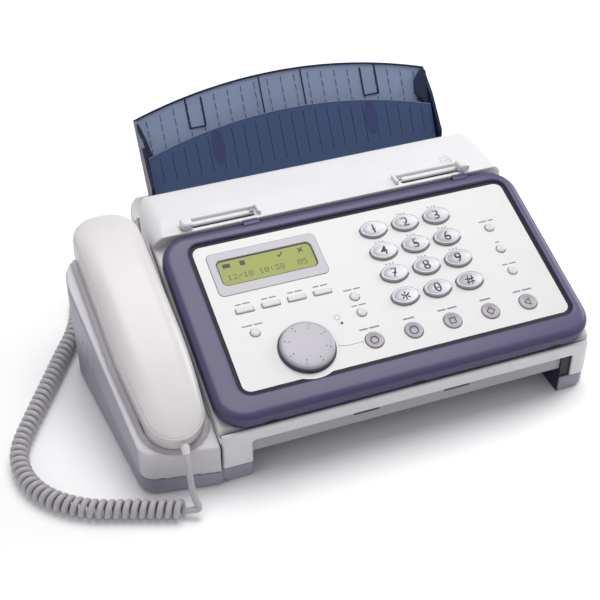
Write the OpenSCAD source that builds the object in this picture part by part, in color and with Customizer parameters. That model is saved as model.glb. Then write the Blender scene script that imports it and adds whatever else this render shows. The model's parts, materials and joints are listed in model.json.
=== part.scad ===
// Fax machine with a handset, an answering-machine control panel and a paper support.
// X runs to the right, Y to the rear, Z up. The origin is on the table, in the middle of the footprint.

/* [Case] */
// Width over the handset cradle and the case
overall_w = 330; // [328:1:334]
// Width of the white case without the cradle
case_w = 267; // [265:1:269]
// Rear wall of the case, measured from the middle
rear_y = 104; // [102:1:108]
// Wall thickness of the casings
wall = 2.5; // [2:0.5:3]
// Radius of the bezel's upright corners
corner_r = 20; // [16:1:22]

/* [Control panel] */
// Slope of the control panel, lower at the front
panel_tilt = 17.1; // [16:0.1:18]
// Width of the white panel plate
plate_w = 234; // [232:1:236]
// Depth of the white panel plate, along its slope
plate_d = 117; // [115:1:118]
// Thickness of the panel plate
plate_t = 2.2; // [1.8:0.1:2.6]
// Radius of the jog dial
dial_r = 18.5; // [17:0.5:19]
// Distance between the columns of number keys
key_pitch_x = 24.1; // [23.5:0.1:24.5]
// Distance between the rows of number keys
key_pitch_y = 19.5; // [18.8:0.1:20]
// How far a key travels
key_travel = 1.2; // [0.8:0.1:1.4]

/* [Handset] */
// Length of the handset
handset_l = 181; // [178:1:184]
// Widest part of the handset
handset_w = 46; // [44:1:47]
// Slope of the handset in its cradle
handset_tilt = 18; // [17.5:0.1:18.5]
// Outer diameter of the curly cord
coil_d = 13; // [12:0.5:13]
// Diameter of the cord itself
cord_d = 4.2; // [3.6:0.1:4.4]

/* [Paper support] */
// Lean of the paper support from upright
support_lean = 32; // [30:1:33]
// Width of the paper support
support_w = 230; // [226:1:232]
// Height of the arch above the support's corners, along its slope
arch_rise = 17; // [15:1:18]

/* [Hidden] */
$fn = 64;
fit = 0.05;      // radial clearance of a running fit
gap = 0.4;       // clearance between moving plastic parts
case_x1 = overall_w / 2;
case_x0 = case_x1 - case_w;
front_y = -125.5;
case_mid = (case_x0 + case_x1) / 2;
// upright corners of the case: front left, front right, rear right, rear left
case_corners = [3, 10, 28, 20];

panel_x = case_mid + 5.5;
panel_y = -52;
panel_z = 74.1;
bezel_x0 = case_x0 + 1 - panel_x;
bezel_x1 = case_x1 - panel_x;
bezel_front = -78;
bezel_rear = 71.3;
bezel_top = 1.5;
bezel_bottom = -9.5;
tray_n = -11;
bulge_r = dial_r + 5;
dial_x = -67.4;
dial_b = -37.4;
number_x = 35;
number_b = 22;
lcd_x = -70.3;
lcd_b = 33.2;
panel_pivot_b = 69.2;
panel_pivot_n = -1.2;
hinge_places = [-70, 90];
deck_b = 73;

cover_pivot_y = 66;
cover_pivot_z = 88;
cover_rear_y = 73;
cover_front_y = -120.5;
deck_z = 97.5;
slot_y = 23;
post_left_x = case_x0 + 14;
post_right_x = case_x1 - 26;
post_w = 6;

foot_h = 13;
leg_left_x = case_x0 + 21;
leg_right_x = case_x1 - 15;
exit_right_x = leg_right_x - 8;
exit_rear_y = -58;
exit_h = 20.5;
frame_left_x = leg_left_x + 2;
frame_right_x = leg_right_x - 7;
screw_places = [[-70, -30], [120, -30], [-70, 94], [120, 94], [-130, 40], [-130, -80]];
jack_x = -120;
jack_z = 13;

support_x = 28;
support_y = 87.4;
support_z = 84.8;
support_t = 1.8;
support_top = 71.9;
side_t = 2.2;
cover_gap = 10;
cover_top = 43.1;
cover_foot = -3;

handset_x = -124.6;
handset_y = -122;
handset_z = 45;
handset_turn = 2.4;
rim_front_z = 35;

// the curly cord's route on the table, from the front of the cradle round its left side to the jack
coil_route = [
    [-129, -144, 6.6], [-136, -141, 6.6], [-163, -131, 6.6], [-188, -121, 6.6], [-207, -106, 6.6],
    [-218, -88, 6.6], [-221, -69, 6.6], [-217, -51, 6.6], [-204, -27, 6.6], [-189, -1, 6.6],
    [-174, 25, 6.6], [-162, 45, 6.6], [-154, 64, 6.6], [-149, 84, 6.6], [-142, 99, 7],
    [-131, 105, 8], [-122, 99, 11], [-120, 84, 13]
];
// the straight lead from the handset down to the curly cord
lead_route = [
    [-124.5, -123.8, 39.1], [-125, -129, 36.5], [-125.5, -134, 31], [-126, -138, 23],
    [-125.5, -142, 14], [-124, -145.5, 8.5], [-125.5, -146, 6.8], [-128.9, -144.1, 6.6]
];

// ---------- helpers ----------

function split_z(y) = 36 + (y - front_y) * 0.14;
function rim_z(y) = rim_front_z + (y - handset_y) * tan(handset_tilt);
function wing_z(y) = foot_h + (y - handset_y) * 0.224;
// a point (along the slope, above the face) of the control panel, as [y, z] of the machine
function panel_point(b, n) = [
    panel_y + b * cos(panel_tilt) - n * sin(panel_tilt),
    panel_z + b * sin(panel_tilt) + n * cos(panel_tilt)
];

// a point (up the slope, in front of the plate) of the paper support, as [y, z] of the machine
function support_point(up, out) = [
    support_y + up * sin(support_lean) - out * cos(support_lean),
    support_z + up * cos(support_lean) + out * sin(support_lean)
];

module rounded_rect(w, h, r) {
    square([w, h - 2 * r], center = true);
    square([w - 2 * r, h], center = true);
    for (x = [-1, 1], y = [-1, 1])
        translate([x * (w / 2 - r), y * (h / 2 - r)])
            circle(r);
}

// a side profile in [y, z] pushed along X from x0 to x1
module along_x(x0, x1) {
    translate([x0, 0, 0])
        rotate([90, 0, 90])
            linear_extrude(x1 - x0)
                children();
}

module rod_x(x0, x1, r, y, z) {
    translate([x0, y, z])
        rotate([0, 90, 0])
            cylinder(r = r, h = x1 - x0);
}

module on_panel() {
    translate([panel_x, panel_y, panel_z])
        rotate([panel_tilt, 0, 0])
            children();
}

module slab(n0, n1) {
    translate([0, 0, n0])
        linear_extrude(n1 - n0)
            children();
}

// points on an arc round a centre, from one angle to another
function arc(x, y, r, from, to, steps = 12) = [
    for (i = [0:steps])
        let (a = from + (to - from) * i / steps)
        [x + r * cos(a), y + r * sin(a)]
];

// the case seen from above, drawn in by inset
module case_plan(inset, front, rear) {
    x0 = case_x0 + inset;
    x1 = case_x1 - inset;
    y0 = front + inset;
    y1 = rear - inset;
    r = [for (corner = case_corners) max(corner - inset, 0.5)];
    polygon([
        [x0 + r[0], y0], [x1 - r[1], y0], [x1, y0 + r[1]], [x1, y1 - r[2]],
        [x1 - r[2], y1], [x0 + r[3], y1], [x0, y1 - r[3]], [x0, y0 + r[0]]
    ]);
    translate([x0 + r[0], y0 + r[0]])
        circle(r[0]);
    translate([x1 - r[1], y0 + r[1]])
        circle(r[1]);
    translate([x1 - r[2], y1 - r[2]])
        circle(r[2]);
    translate([x0 + r[3], y1 - r[3]])
        circle(r[3]);
}

// the cradle wing seen from above, drawn in by inset: its side runs out from front_x to rear_x
module wing_plan(inset, front_x, rear_x, right_x) {
    corner = 12;
    polygon(concat(
        arc(front_x + corner, -120 + corner, corner - inset, 180, 270),
        [
            [right_x - inset, -126.3 + inset],
            [right_x - inset, 66 - inset],
            [-137 + inset, 62 - inset],
            [rear_x + 1.5 + inset, 21],
            [rear_x + inset, 8]
        ]
    ));
}

// the space below a sloping plane through the wing
module below_slope(front_z, slope, drop) {
    along_x(-200, -90)
        polygon([
            [-140, -5],
            [-140, front_z + (-140 - handset_y) * slope - drop],
            [90, front_z + (90 - handset_y) * slope - drop],
            [90, -5]
        ]);
}

// ---------- base ----------

module lower_case() {
    color("slategray") {
        difference() {
            union() {
                translate([0, 0, 1.5])
                    linear_extrude(foot_h - 1.8)
                        case_plan(0.8, front_y, rear_y);
                intersection() {
                    translate([0, 0, 1.5])
                        linear_extrude(60)
                            wing_plan(0, -153, -164.5, case_x0 - 0.3);
                    below_slope(foot_h, 0.224, 0.3);
                }
                // floor that joins the wing to the tray
                translate([case_x0 - 5, -110, 1.5])
                    cube([10, 160, wall]);
            }
            // hollow of the main tray and of the wing
            translate([0, 0, 1.5 + wall])
                linear_extrude(30)
                    case_plan(0.8 + wall, front_y, rear_y);
            translate([0, 0, 1.5 + wall])
                linear_extrude(60)
                    wing_plan(wall, -153, -164.5, case_x0 - 0.3);
            // paper exit between the legs
            translate([leg_left_x, -140, -1])
                cube([exit_right_x - leg_left_x, exit_rear_y + 140, exit_h + 1]);
            // opening in the wing's rear for the handset's jack
            translate([jack_x - 6.2, 58, jack_z - 5.2])
                cube([12.4, 20, 10.4]);
            for (p = screw_places)
                translate([p[0], p[1], 1])
                    screw_hole();
        }
        exit_tunnel();
        for (x = [frame_left_x, frame_right_x])
            roller_frame(x);
    }
}

module screw_hole() {
    cylinder(r = 3.1, h = 2.4);
    cylinder(r = 1.5, h = 10);
}

// roof and back of the paper exit
module exit_tunnel() {
    exit_w = exit_right_x - leg_left_x;
    exit_d = exit_rear_y + 120;
    for (x = [leg_left_x - wall, exit_right_x])
        translate([x, -120, wall])
            cube([wall, exit_d, exit_h]);
    translate([leg_left_x - wall, exit_rear_y, wall])
        cube([exit_w + 2 * wall, wall, exit_h]);
    translate([leg_left_x - wall, -120, exit_h])
        cube([exit_w + 2 * wall, exit_d, wall]);
}

// an upright plate that carries one end of every roller
module roller_frame(x) {
    difference() {
        along_x(x, x + 3)
            polygon([[-52, 3], [-52, 46], [-34, 46], [14, 57], [66, 40], [66, 3]]);
        rod_x(x - 1, x + 4, 3 + fit, 12, 48);
        rod_x(x - 1, x + 4, 3 + fit, -34, 38);
        rod_x(x - 1, x + 4, 3 + fit, 50, 30);
    }
}

module rubber_feet() {
    color("dimgray")
        for (p = [[-140, -100], [-148, 20], [case_x0 + 12, 84], [case_x1 - 14, 84],
                  [case_x1 - 11, -112], [case_x0 + 8, -114]])
            translate([p[0], p[1], 0])
                cylinder(r = 6, h = 1.5);
}

module main_case() {
    color("whitesmoke")
        difference() {
            intersection() {
                linear_extrude(90)
                    case_plan(0, front_y, rear_y);
                along_x(case_x0, case_x1)
                    polygon([
                        [front_y, foot_h],
                        [front_y, 41.6],
                        [front_y + wall, 41.6],
                        [front_y + wall, split_z(front_y)],
                        [cover_rear_y + 1, split_z(cover_rear_y + 1)],
                        [cover_rear_y + 2.5, 74],
                        [rear_y - 5, 77],
                        [rear_y, 72],
                        [rear_y, foot_h]
                    ]);
            }
            // hollow
            translate([0, 0, -1])
                linear_extrude(split_z(rear_y) + 1)
                    case_plan(wall, front_y, rear_y);
            // chute for the recording paper
            translate([support_x - support_w / 2 - gap, cover_rear_y, 50])
                cube([support_w + 2 * gap, rear_y - 10 - cover_rear_y, 60]);
            // opening between the legs
            translate([leg_left_x, front_y - 1, 0])
                cube([leg_right_x - leg_left_x, 20, 31.5]);
            // openings for the mains inlet and the line sockets
            translate([99.8, rear_y - 30, 15.8])
                cube([24.4, 40, 18.4]);
            translate([-60.2, rear_y - 30, 15.8])
                cube([30.4, 40, 14.4]);
        }
    color("whitesmoke")
        difference() {
            union() {
                // front wall of the paper chute, with the posts of the main hinge
                translate([case_x0 + 1, cover_rear_y - 2.5, foot_h + 1])
                    cube([case_w - 2, wall, 79 - foot_h - 1]);
                for (x = [post_left_x, post_right_x])
                    along_x(x, x + post_w)
                        polygon([[71, 46], [61, 62], [61, 92], [69.5, 92], [72, 78], [72, 46]]);
            }
            rod_x(case_x0, case_x1, 2.5 + fit, cover_pivot_y, cover_pivot_z);
        }
}

module cradle_housing() {
    color("lightgray")
        difference() {
            intersection() {
                linear_extrude(100)
                    wing_plan(0, -153.5, -165, case_x0 - 0.3);
                below_slope(rim_front_z, tan(handset_tilt), 0);
            }
            below_slope(foot_h, 0.224, 0);
            // pocket that holds the handset, with two deep cups
            on_handset() {
                translate([0, 0, -12])
                    linear_extrude(60)
                        handset_plan(-4);
                translate([0, 24, -20 - gap])
                    cylinder(r = 19.2, h = 40);
                translate([0, handset_l - 27, -24 - gap])
                    cylinder(r = 20.8, h = 50);
            }
            // low rear end, so that fingers reach under the handset
            translate([-200, 33, 62])
                cube([120, 60, 60]);
            // hollow under the pocket
            intersection() {
                linear_extrude(100)
                    wing_plan(wall, -153.5, -165, case_x0 - 0.3);
                below_slope(rim_front_z, tan(handset_tilt), 21);
                along_x(-200, -90)
                    polygon([[-140, -5], [-140, 100], [30, 100], [30, 59], [90, 59], [90, -5]]);
            }
            speaker_grille();
            // bore for the hook switch's plunger
            on_handset()
                translate([0, 100, -60])
                    cylinder(r = 3.3, h = 70);
        }
}

// rows of holes in the cradle's side, in front of the loudspeaker
module speaker_grille() {
    for (row = [0:4], column = [0:3])
        translate([-175, -37 + row * 5 + column * 1.5, 32 + column * 5])
            rotate([0, 90, 0])
                cylinder(r = 1.1, h = 17, $fn = 24);
}

module front_frame() {
    color("darkgray")
        difference() {
            translate([leg_left_x + gap, front_y + wall + 0.4, exit_h])
                cube([leg_right_x - leg_left_x - 2 * gap, 2, 14.5]);
            for (x = [-8, 72])
                translate([x, front_y, 29])
                    cube([24, 10, 1.4]);
        }
}

module paper_support() {
    color("midnightblue", 0.8) {
        difference() {
            on_support()
                slab(-support_t, 0)
                    arched_plan(support_w, -24, support_top);
            on_support()
                for (x = [-62, 62])
                    translate([x, 48, -support_t - 1])
                        cube([3, 12, 1.8]);
        }
        for (side = [-1, 1])
            translate([support_x + side * (support_w - side_t) / 2, 0, 0])
                difference() {
                    along_x(-side_t / 2, side_t / 2)
                        polygon([
                            support_point(54, -0.5), support_point(54, 1), support_point(34, 10),
                            [cover_rear_y + 3.4, 97], [cover_rear_y + 3.4, 72],
                            support_point(-16, 1), support_point(-16, -0.5)
                        ]);
                    rod_x(-4, 4, 1.5 + fit, paper_pivot()[0], paper_pivot()[1]);
                }
    }
}

function paper_pivot() = support_point(cover_foot, cover_gap - 2.9);

module on_support() {
    translate([support_x, support_y, support_z])
        rotate([90 - support_lean, 0, 0])
            children();
}

// a plate with an arched top: width, bottom and the height of the arch's crown
module arched_plan(w, bottom, top) {
    arc_r = (w * w / 4 + arch_rise * arch_rise) / (2 * arch_rise);
    intersection() {
        translate([-w / 2, bottom])
            square([w, top - bottom]);
        translate([0, top - arc_r])
            circle(arc_r, $fn = 180);
    }
}

module main_board() {
    color("seagreen") {
        translate([-68, 20, 6])
            cube([202, 70, 1.6]);
        translate([-97, -40, 6])
            cube([16, 120, 1.6]);
    }
    color("dimgray")
        for (x = [-50, -10, 30, 80])
            translate([x, 68, 7.6])
                cube([18, 14, 4]);
    color("dimgray")
        translate([-95, 30, 7.6])
            cube([12, 12, 6]);
}

module rear_sockets() {
    color("black") {
        // mains inlet and line sockets in the rear wall, handset jack in the wing's rear
        translate([100, rear_y - 20, 16])
            socket_block(24, 18, 20, 16, 10);
        translate([-60, rear_y - 16, 16])
            socket_block(30, 14, 16, 24, 8);
        translate([jack_x - 6, 52, jack_z - 5])
            socket_block(12, 10, 13.5, 8, 6.4);
    }
}

// a block with an open socket in its rear face
module socket_block(w, h, d, hole_w, hole_h) {
    difference() {
        cube([w, d, h]);
        translate([(w - hole_w) / 2, d - 10, (h - hole_h) / 2])
            cube([hole_w, 20, hole_h]);
    }
}

module loudspeaker() {
    color("dimgray")
        translate([-152, -26, 26])
            rotate([0, 90, 0]) {
                cylinder(r = 16, h = 4);
                translate([0, 0, 4])
                    cylinder(r1 = 15, r2 = 9, h = 7);
                translate([0, 0, 11])
                    cylinder(r = 9, h = 6);
            }
}

module print_head() {
    color("silver") {
        translate([frame_left_x + 5, 5, 30])
            cube([frame_right_x - frame_left_x - 7, 14, 8.4]);
        translate([frame_left_x + 5, 2, 24])
            cube([frame_right_x - frame_left_x - 7, 20, 6]);
    }
}

module drive_motor() {
    color("gray") {
        rod_x(frame_left_x - 18, frame_left_x - 2, 14, -14, 24);
        rod_x(frame_left_x - 2, frame_left_x - 0.2, 3, -14, 24);
    }
}

module case_screws() {
    color("silver")
        for (p = screw_places)
            translate([p[0], p[1], 1.5]) {
                cylinder(r = 3, h = 1.8);
                cylinder(r = 1.4, h = 8);
            }
}

module cover_hinge_pins() {
    color("silver")
        for (x = [post_left_x - 1, post_right_x - 4])
            rod_x(x, x + post_w + 5, 2.5, cover_pivot_y, cover_pivot_z);
}

// a roller with a shaft that runs in both roller frames
module roller(r, y, z, x0, x1) {
    rod_x(x0, x1, r, y, z);
    rod_x(frame_left_x - 1, frame_right_x + 4, 3, y, z);
}

module platen_roller() {
    color("dimgray")
        roller(9, 12, 48, frame_left_x + 4, frame_right_x - 1);
}

// a spool with a flange at each end
module spool(r, y, z) {
    roller(r, y, z, frame_left_x + 4, frame_right_x - 1);
    for (x = [frame_left_x + 4, frame_right_x - 3])
        rod_x(x, x + 2, 13, y, z);
}

module ribbon_supply_spool() {
    color("black")
        spool(11, -34, 38);
}

module ribbon_takeup_spool() {
    color("black")
        spool(7, 50, 30);
}

module paper_cover() {
    half = support_w / 2 - side_t;
    pivot = paper_pivot();
    color("navy", 0.8) {
        on_support()
            slab(cover_gap - support_t, cover_gap)
                arched_plan(2 * (half - 1), cover_foot, cover_top);
        rod_x(support_x - half + 1, support_x + half - 1, 1.8, pivot[0], pivot[1]);
        rod_x(support_x - half - 2, support_x + half + 2, 1.5, pivot[0], pivot[1]);
    }
}

// ---------- handset ----------

module on_handset() {
    translate([handset_x, handset_y, handset_z])
        rotate([0, 0, handset_turn])
            rotate([handset_tilt, 0, 0])
                children();
}

// the handset seen from above, from its cord end at 0 to its ear end, drawn in by inset
module handset_plan(inset) {
    front_r = 19.5;
    rear_r = 20;
    half = handset_w / 2;
    polygon(concat(
        arc(0, front_r, front_r - inset, 180, 360, 24),
        [[half - inset, 70]],
        arc(half - rear_r, handset_l - rear_r, rear_r - inset, 0, 90),
        arc(rear_r - half, handset_l - rear_r, rear_r - inset, 90, 180),
        [[inset - half, 70]]
    ));
}

// the space under the handset's arched back, lowered by drop
module under_back(drop) {
    back_r = 360;
    rise = 14.5 - drop;
    rod_at(-40, 40, back_r, handset_l * 0.52, rise - back_r);
}

module rod_at(x0, x1, r, y, z) {
    translate([x0, y, z])
        rotate([0, 90, 0])
            cylinder(r = r, h = x1 - x0, $fn = 240);
}

module handset_upper_shell() {
    color("ivory")
        on_handset()
            difference() {
                intersection() {
                    slab(0, 30)
                        handset_plan(0);
                    under_back(0);
                }
                intersection() {
                    slab(-1, 30)
                        handset_plan(2.2);
                    under_back(2.2);
                }
            }
}

module handset_lower_shell() {
    color("ivory")
        on_handset()
            difference() {
                union() {
                    slab(-11, -0.2)
                        handset_plan(0.4);
                    translate([0, 24, -20])
                        cylinder(r = 18, h = 12);
                    translate([0, handset_l - 27, -24])
                        cylinder(r = 19.5, h = 16);
                    // grommet of the cord
                    translate([0, 6, -5])
                        rotate([90, 0, 0])
                            cylinder(r = 2.6, h = 9);
                }
                slab(-8.8, 1)
                    handset_plan(2.8);
                translate([0, 24, -18])
                    cylinder(r = 15.8, h = 14);
                translate([0, handset_l - 27, -22])
                    cylinder(r = 17.3, h = 16);
                for (angle = [0:60:300])
                    rotate_about(handset_l - 27, angle)
                        translate([6, 0, -30])
                            cylinder(r = 1, h = 12, $fn = 24);
                for (x = [-4, 0, 4])
                    translate([x, 24, -30])
                        cylinder(r = 1, h = 15, $fn = 24);
            }
}

module rotate_about(y, angle) {
    translate([0, y, 0])
        rotate([0, 0, angle])
            children();
}

module handset_capsules() {
    color("dimgray")
        on_handset() {
            translate([0, 24, -18])
                cylinder(r = 9, h = 6);
            translate([0, handset_l - 27, -22])
                cylinder(r = 15, h = 8);
        }
}

module hook_switch() {
    color("dimgray")
        on_handset() {
            translate([0, 100, -33])
                cylinder(r = 3, h = 21.6);
            translate([0, 100, -35])
                cylinder(r = 5, h = 2);
        }
}

// ---------- cord ----------

function unit(v) = v / norm(v);
function tangent(route, i) = unit(route[min(i + 1, len(route) - 1)] - route[max(i - 1, 0)]);
// a point of a smooth curve through the route, at t from 0 to 1 between points i and i + 1
function smooth_point(route, i, t) =
    let (
        last = len(route) - 1,
        p0 = route[max(i - 1, 0)],
        p1 = route[i],
        p2 = route[i + 1],
        p3 = route[min(i + 2, last)]
    )
    0.5 * (2 * p1 + (p2 - p0) * t + (2 * p0 - 5 * p1 + 4 * p2 - p3) * t * t
        + (3 * p1 - p0 - 3 * p2 + p3) * t * t * t);
function smooth_route(route, steps) = concat(
    [for (i = [0:len(route) - 2], k = [0:steps - 1]) smooth_point(route, i, k / steps)],
    [route[len(route) - 1]]
);
function ring(centre, along, r, sides) =
    let (
        side = unit(cross(along, [0.01, 0.02, 1])),
        up = cross(side, along)
    )
    [for (k = [0:sides - 1]) centre + r * (cos(k * 360 / sides) * side + sin(k * 360 / sides) * up)];

// a round tube along a route
module tube(route, r, sides) {
    count = len(route);
    points = [for (i = [0:count - 1]) each ring(route[i], tangent(route, i), r, sides)];
    walls = [
        for (i = [0:count - 2], k = [0:sides - 1])
            let (n = (k + 1) % sides)
            [i * sides + k, i * sides + n, (i + 1) * sides + n, (i + 1) * sides + k]
    ];
    start = [for (k = [sides - 1:-1:0]) k];
    end = [for (k = [0:sides - 1]) (count - 1) * sides + k];
    polyhedron(points, concat([start], walls, [end]), convexity = 10);
}

module handset_cord_lead() {
    color("gainsboro")
        tube(smooth_route(lead_route, 2), cord_d / 2, 8);
}

module handset_cord_coil() {
    color("gainsboro")
        tube(smooth_route(coil_route, 3), coil_d / 2, 12);
}

module handset_plug() {
    color("white", 0.8)
        translate([jack_x - 3.5, 58, jack_z - 2.8])
            cube([7, 25.8, 5.6]);
}

// ---------- top cover ----------

module top_cover() {
    color("white") {
        difference() {
            cover_shell();
            // slots of the document guides
            for (x = [-81, 84])
                translate([x, slot_y - 1.5, 90])
                    cube([54, 3, 20]);
            // notches for the posts of the main hinge
            for (x = [post_left_x, post_right_x])
                translate([x - 1, 67.5, 80])
                    cube([post_w + 2, 10, 13.5]);
            // opening for the document roller
            on_panel()
                translate([-108, 24, -20])
                    cube([212, 20, 12]);
        }
        // ears of the main hinge
        for (x = [post_left_x + post_w + gap, post_right_x - 3 - gap])
            difference() {
                along_x(x, x + 3)
                    polygon([[60, 84], [60, 95.5], [70, 95.5], [71, 84]]);
                rod_x(x - 1, x + 4, 2.5 + fit, cover_pivot_y, cover_pivot_z);
            }
        // bearing plates of the document roller
        for (x = [-113, 109])
            on_panel()
                difference() {
                    translate([x, 22, -26])
                        cube([3, 24, 13.5]);
                    translate([x - 1, 34, -18])
                        rotate([0, 90, 0])
                            cylinder(r = 2 + fit, h = 5);
                }
        // knuckles of the control panel's hinge
        for (x = hinge_places)
            on_panel()
                translate([x, panel_pivot_b, panel_pivot_n])
                    difference() {
                        union() {
                            translate([-5, 0, 0])
                                rotate([0, 90, 0])
                                    cylinder(r = 2.6, h = 10);
                            translate([-5, 0, -2.6])
                                cube([10, deck_b + 1 - panel_pivot_b, 4.4]);
                        }
                        translate([-6, 0, 0])
                            rotate([0, 90, 0])
                                cylinder(r = 1.2 + fit, h = 12);
                    }
    }
}

module cover_shell() {
    tray_front = panel_point(-74, tray_n);
    tray_rear = panel_point(deck_b, tray_n);
    deck_front = panel_point(deck_b, 0.6);
    bottom_front = split_z(cover_front_y) + 0.5;
    bottom_rear = split_z(60) + 0.5;
    lip_z = 84;
    difference() {
        intersection() {
            linear_extrude(110)
                case_plan(gap, cover_front_y - 4, cover_rear_y + 2.5);
            deck_front_view(0);
            along_x(case_x0, case_x1)
                union() {
                    polygon([
                        [cover_front_y, bottom_front], tray_front, tray_rear, deck_front,
                        [40, deck_z], [cover_rear_y - 8, deck_z],
                        [cover_rear_y, deck_z - 8], [cover_rear_y, lip_z], [62, lip_z], [60, bottom_rear]
                    ]);
                    translate([cover_rear_y - 8, deck_z - 8])
                        circle(8);
                }
        }
        intersection() {
            linear_extrude(110)
                case_plan(gap + wall, cover_front_y - 4, cover_rear_y + 2.5);
            deck_front_view(wall);
            along_x(case_x0, case_x1)
                union() {
                    polygon([
                        [cover_front_y + wall, 20],
                        panel_point(-71.5, tray_n - wall),
                        panel_point(deck_b, tray_n - wall) + [wall, 0],
                        deck_front + [wall + 1, -wall],
                        [40, deck_z - wall], [cover_rear_y - 8, deck_z - wall],
                        [cover_rear_y - wall, deck_z - 8], [cover_rear_y - wall, 20]
                    ]);
                    translate([cover_rear_y - 8, deck_z - 8])
                        circle(8 - wall);
                }
        }
    }
}

// the cover seen from the front, with rounded top corners, drawn in by inset
module deck_front_view(inset) {
    r = 12;
    translate([case_mid, 100, 0])
        rotate([90, 0, 0])
            linear_extrude(240)
                intersection() {
                    translate([0, deck_z - 60 - inset])
                        rounded_rect(case_w - 2 * (gap + inset), 120, r - inset);
                    translate([-200, 0])
                        square([400, 120]);
                }
}

module document_roller() {
    color("dimgray")
        on_panel()
            translate([0, 34, -18])
                rotate([0, 90, 0]) {
                    translate([0, 0, -104])
                        cylinder(r = 7, h = 204);
                    translate([0, 0, -113])
                        cylinder(r = 2, h = 225);
                }
}

// a guide that slides along its slot: tab above the deck, stem and foot below
module document_guide(x) {
    color("whitesmoke")
        translate([x, slot_y, 0]) {
            translate([-3.5, -4.5, deck_z + 0.3])
                cube([7, 9, 3.5]);
            translate([-3, -1.1, deck_z - 5])
                cube([6, 2.2, 6]);
            translate([-4, -0.6, deck_z - 6])
                cube([8, 4, 2]);
        }
}

module guide_left() {
    document_guide(-77);
}

module guide_right() {
    document_guide(133);
}

// ---------- control panel ----------

// the panel plate seen along its normal, drawn in by inset
module plate_plan(inset) {
    rounded_rect(plate_w - 2 * inset, plate_d - 2 * inset, 6);
    translate([dial_x, dial_b])
        circle(bulge_r - inset);
}

module panel_bezel() {
    color("darkslateblue")
        on_panel() {
            difference() {
                slab(bezel_bottom, bezel_top)
                    translate([(bezel_x0 + bezel_x1) / 2, (bezel_front + bezel_rear) / 2])
                        rounded_rect(bezel_x1 - bezel_x0, bezel_rear - bezel_front, corner_r);
                slab(-plate_t - 0.2, bezel_top + 1)
                    plate_plan(-0.4);
                slab(bezel_bottom - 1, 0)
                    plate_plan(3);
                // notches for the hinge knuckles
                for (x = hinge_places)
                    translate([x - 6, panel_pivot_b - 3.4, bezel_bottom - 1])
                        cube([12, 10, 20]);
            }
            for (x = hinge_places)
                translate([x - 6.5, panel_pivot_b, panel_pivot_n])
                    rotate([0, 90, 0])
                        cylinder(r = 1.2, h = 13);
        }
}

module panel_plate() {
    color("white")
        on_panel()
            difference() {
                slab(-plate_t, 0)
                    plate_plan(0);
                slab(-plate_t - 1, 1) {
                    translate([lcd_x, lcd_b])
                        rounded_rect(78.5, 35.8, 4);
                    for (row = [0:3], column = [0:2])
                        translate(number_place(row, column))
                            oval_plan(gap);
                    for (i = [0:3])
                        translate(bar_place(i))
                            rounded_rect(12.5 + 2 * gap, 4 + 2 * gap, 1.2);
                    for (p = small_places)
                        translate(p)
                            circle(3.25 + gap);
                    for (i = [0:4])
                        translate(round_place(i))
                            circle(6.25 + gap);
                    translate([dial_x, dial_b])
                        circle(4 + fit);
                }
            }
}

function number_place(row, column) =
    [number_x + (column - 1) * key_pitch_x, number_b + (1 - row) * key_pitch_y];
function bar_place(i) = [-97 + i * 18.3, 1.7];
function round_place(i) = [-22.3 + i * 28.4, -43.9];
small_places = [[-96, -17], [-22.4, -7.9], [-22.4, -21.1], [92.4, 22], [92.4, 2.5], [92.4, -17]];

// an oval number key seen from above, grown by grow: two big arcs joined by two small ones
module oval_plan(grow) {
    intersection() {
        circle(10 + grow);
        translate([0, 5.2])
            circle(12.2 + grow);
        translate([0, -5.2])
            circle(12.2 + grow);
    }
}

module lcd_module() {
    on_panel() {
        color("lavender")
            difference() {
                slab(-5, 0.4)
                    translate([lcd_x, lcd_b])
                        rounded_rect(78, 35.3, 3.8);
                slab(-1.6, 1)
                    translate([lcd_x, 33.8])
                        rounded_rect(68.4, 21.4, 4);
            }
        color("yellowgreen")
            slab(-1.6, 0.2)
                translate([lcd_x, 33.8])
                    rounded_rect(68, 21, 3.8);
    }
}

module panel_board() {
    color("seagreen")
        on_panel()
            difference() {
                slab(-9, -7.4)
                    translate([0, -2])
                        rounded_rect(214, 100, 3);
                translate([dial_x, dial_b, -20])
                    cylinder(r = 6, h = 30);
            }
}

module jog_dial() {
    color("silver")
        on_panel()
            translate([dial_x, dial_b, 0])
                difference() {
                    union() {
                        translate([0, 0, 0.4])
                            cylinder(r = dial_r, h = 3);
                        intersection() {
                            translate([0, 0, 3.4])
                                cylinder(r = dial_r - 0.6, h = 4);
                            translate([0, 0, 5.4 - 78])
                                sphere(r = 78, $fn = 128);
                        }
                        translate([0, 0, -7])
                            cylinder(r = 4, h = 8);
                    }
                    for (angle = [0:45:315], r = [12.4, 15])
                        rotate([0, 0, angle])
                            translate([r, 0, 3.6])
                                cylinder(r = 0.6, h = 4, $fn = 24);
                }
}

// a key: cap through the plate and a flange that keeps it in
module key(place, height) {
    on_panel()
        translate([place[0], place[1], 0]) {
            slab(-plate_t - 0.6, height)
                children(0);
            slab(-plate_t - 2.2, -plate_t - 0.4)
                children(1);
        }
}

module number_key(row, column) {
    color("silver")
        key(number_place(row, column), 2.2) {
            oval_plan(0);
            oval_plan(1.4);
        }
}

module bar_key(i) {
    color("white")
        key(bar_place(i), 1.2) {
            rounded_rect(12.5, 4, 1);
            rounded_rect(15, 6.5, 1);
        }
}

module small_key(i) {
    color("white")
        key(small_places[i], 1.4) {
            circle(3.25);
            circle(4.6);
        }
}

module round_key(i) {
    color("silver")
        key(round_place(i), 1) {
            circle(6.25);
            circle(7.6);
        }
}

// ---------- nodes ----------

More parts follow.
